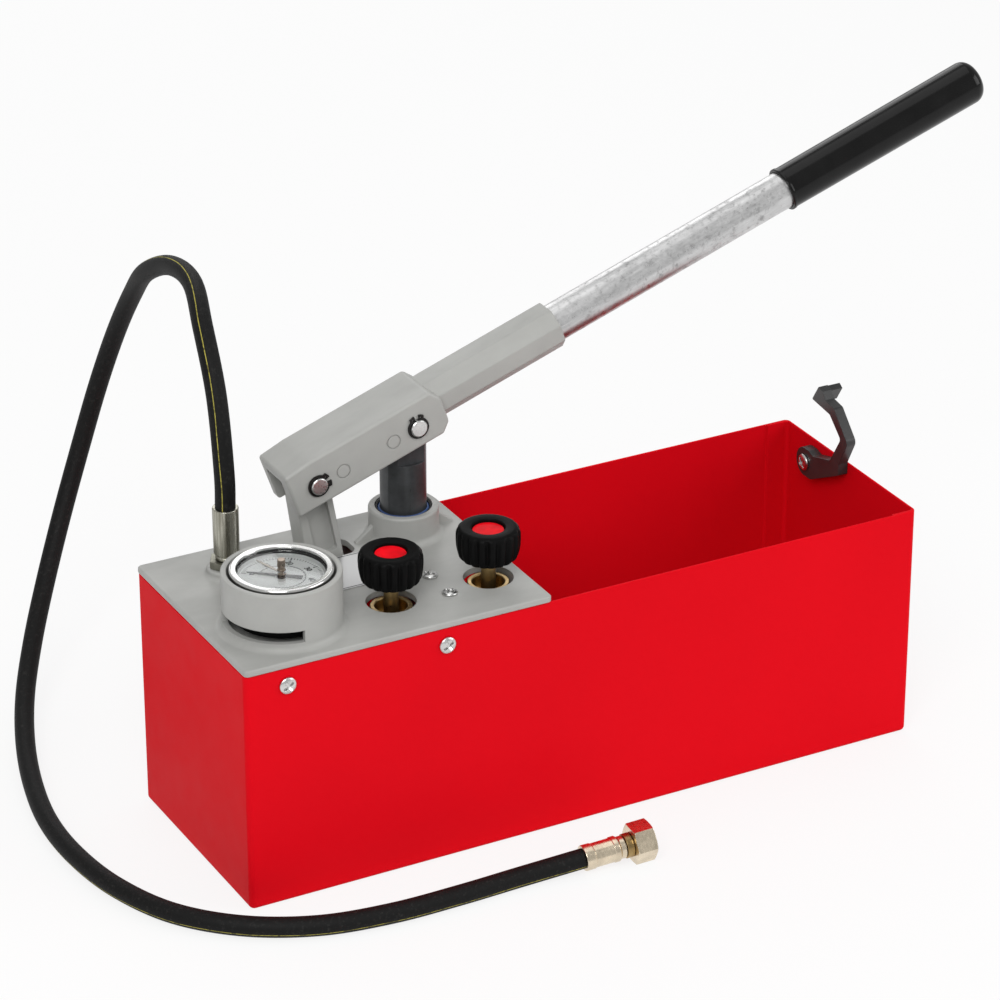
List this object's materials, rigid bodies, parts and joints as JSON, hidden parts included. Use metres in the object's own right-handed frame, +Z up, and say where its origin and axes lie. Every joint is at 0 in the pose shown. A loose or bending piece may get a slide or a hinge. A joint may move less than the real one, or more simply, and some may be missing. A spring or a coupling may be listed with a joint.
{
  "type": "hydrostatic test pump",
  "caption": "Hand-lever hydrostatic test pump: open red water tank, cast cover with plunger pump, pressure gauge, shut-off valves, pressure hose and lever latch.",
  "frame": {"origin": "middle of the tank's base, on the floor", "axes": "+X along the tank from the gauge end to the latch end, +Y from the front with the side screws and gauge to the back with the lever, +Z up"},
  "size_m": [0.7265, 0.4919, 0.442],
  "materials": {
    "red_paint": "satin red stoved paint on sheet steel",
    "grey_paint": "satin warm grey paint on castings",
    "dark_steel": "ground and darkened plunger steel",
    "zinc_steel": "bright zinc plate",
    "stainless": "polished stainless steel",
    "aluminium": "raw casting",
    "brass": "turned brass",
    "nickel": "nickel plate on brass",
    "spring_steel": "blackened spring steel",
    "black_plastic": "satin black moulding",
    "gloss_black": "gloss black grip",
    "red_plastic": "smooth red disc",
    "black_rubber": "matte black rubber with a thin yellow line",
    "blue_seal": "blue polyurethane",
    "dial_white": "white printed dial",
    "clear_glass": "clear window"
  },
  "bodies": {
    "pump_body": {"tank": "red_paint", "cover_plate": "grey_paint", "side_screw_1": "zinc_steel", "side_screw_2": "zinc_steel", "side_screw_3": "zinc_steel", "side_screw_4": "zinc_steel", "top_screw_1": "zinc_steel", "top_screw_2": "zinc_steel", "valve_block": "aluminium", "pump_cylinder": "zinc_steel", "wiper_seal": "blue_seal", "seal_ring": "black_rubber", "gauge_socket": "brass", "gauge_case": "black_plastic", "bourdon_tube": "brass", "gauge_movement": "brass", "gauge_dial": "dial_white", "gauge_glass": "clear_glass", "gauge_bezel": "stainless", "valve_gland_1": "brass", "valve_gland_2": "brass", "suction_pipe": "brass", "suction_strainer": "stainless", "return_pipe": "brass", "rocker_pivot_pin": "zinc_steel", "latch_screw": "zinc_steel", "latch_nut": "zinc_steel", "hose_nut": "brass", "hose_ferrule_top": "nickel", "hose": "black_rubber", "hose_ferrule_end": "nickel", "hose_nipple": "brass"},
    "plunger": {"piston": "dark_steel"},
    "lever": {"lever_head": "grey_paint", "lever_tube": "zinc_steel", "lever_grip": "gloss_black", "rocker_pin": "zinc_steel", "piston_pin": "zinc_steel", "rocker_pin_ring_front": "spring_steel", "rocker_pin_ring_back": "spring_steel", "piston_pin_ring_front": "spring_steel", "piston_pin_ring_back": "spring_steel"},
    "rocker": {"rocker_link": "grey_paint"},
    "valve_lift_1": {"valve_cone_1": "brass"},
    "valve_lift_2": {"valve_cone_2": "brass"},
    "valve_1": {"valve_spindle_1": "brass", "valve_knob_1": "black_plastic", "knob_disc_1": "red_plastic"},
    "valve_2": {"valve_spindle_2": "brass", "valve_knob_2": "black_plastic", "knob_disc_2": "red_plastic"},
    "needle": {"gauge_needle": "black_plastic"},
    "drag_hand": {"drag_hand": "zinc_steel"},
    "latch": {"latch_hook": "black_plastic"},
    "union": {"union_nut": "nickel"}
  },
  "joints": [
    {"name": "plunger_stroke", "type": "slide", "parent": "pump_body", "child": "plunger", "axis": [0, 0, 1], "range_m": [-0.026, 0.0335]},
    {"name": "lever_swing", "type": "hinge", "parent": "plunger", "child": "lever", "pos_m": [-0.0754, 0.046, 0.2681], "axis": [0, -1, 0], "range_deg": [-18.7, 24.3]},
    {"name": "rocker_turn", "type": "hinge", "parent": "lever", "child": "rocker", "pos_m": [-0.15029, 0.046, 0.24202], "axis": [0, -1, 0], "range_deg": [-34, 26.5]},
    {"name": "valve_1_lift", "type": "slide", "parent": "pump_body", "child": "valve_lift_1", "axis": [0, 0, 1], "range_m": [0, 0.00225]},
    {"name": "valve_1_turn", "type": "hinge", "parent": "valve_lift_1", "child": "valve_1", "pos_m": [-0.1295, -0.0414, 0.1798], "axis": [0, 0, 1], "range_deg": [0, 540]},
    {"name": "valve_2_lift", "type": "slide", "parent": "pump_body", "child": "valve_lift_2", "axis": [0, 0, 1], "range_m": [0, 0.00225]},
    {"name": "valve_2_turn", "type": "hinge", "parent": "valve_lift_2", "child": "valve_2", "pos_m": [-0.0564, -0.0414, 0.1798], "axis": [0, 0, 1], "range_deg": [0, 540]},
    {"name": "gauge_reading", "type": "hinge", "parent": "pump_body", "child": "needle", "pos_m": [-0.2068, -0.0365, 0.214], "axis": [0, 0, 1], "range_deg": [-270, 0], "stiffness_Nm_per_rad": 0.0005},
    {"name": "drag_hand_reset", "type": "hinge", "parent": "pump_body", "child": "drag_hand", "pos_m": [-0.2068, -0.0365, 0.2159], "axis": [0, 0, 1], "range_deg": [-235, 34]},
    {"name": "latch_swing", "type": "hinge", "parent": "pump_body", "child": "latch", "pos_m": [0.2557, 0.046, 0.159], "axis": [1, 0, 0], "range_deg": [-25, 50]},
    {"name": "union_swivel", "type": "hinge", "parent": "pump_body", "child": "union", "pos_m": [-0.0405, -0.1448, 0.0104], "axis": [0.9948, -0.0752, 0.0685], "continuous": true}
  ],
  "couplings": [
    {"joint": "plunger_stroke", "follows": "lever_swing", "m_per_rad": 0.0771},
    {"joint": "rocker_turn", "follows": "lever_swing", "ratio": -1.3768},
    {"joint": "valve_1_turn", "follows": "valve_1_lift", "rad_per_m": 4188.8},
    {"joint": "valve_2_turn", "follows": "valve_2_lift", "rad_per_m": 4188.8}
  ]
}
